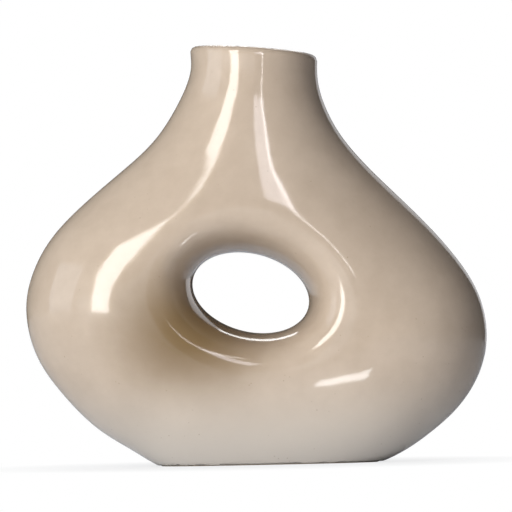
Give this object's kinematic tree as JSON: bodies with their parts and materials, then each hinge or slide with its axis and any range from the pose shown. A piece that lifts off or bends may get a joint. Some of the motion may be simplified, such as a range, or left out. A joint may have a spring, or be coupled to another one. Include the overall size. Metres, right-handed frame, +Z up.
{
  "type": "donut vase",
  "caption": "Upright ring-shaped ceramic vase with an oval tunnel through its middle, a round slanting neck and a flat foot, for a few stems in water.",
  "frame": {"origin": "on the floor plane under the middle of the vase's overall box, in the seam plane between its two shells", "axes": "+Z up, +X along the width to the right as seen from the front, -Y out of the front face, so that looking along +Y shows the front"},
  "size_m": [0.2297, 0.092, 0.2095],
  "materials": {
    "stoneware": "bare fired clay",
    "slip": "fired joining slip",
    "glaze": "glossy"
  },
  "bodies": {
    "root": {"front_shell": "stoneware", "back_shell": "stoneware", "neck_collar": "stoneware", "foot_slab": "stoneware", "left_seam_slip": "slip", "right_seam_slip": "slip", "hole_seam_slip": "slip", "collar_slip": "slip", "foot_slip": "slip", "outer_glaze": "glaze", "liner_glaze": "glaze"}
  },
  "joints": []
}
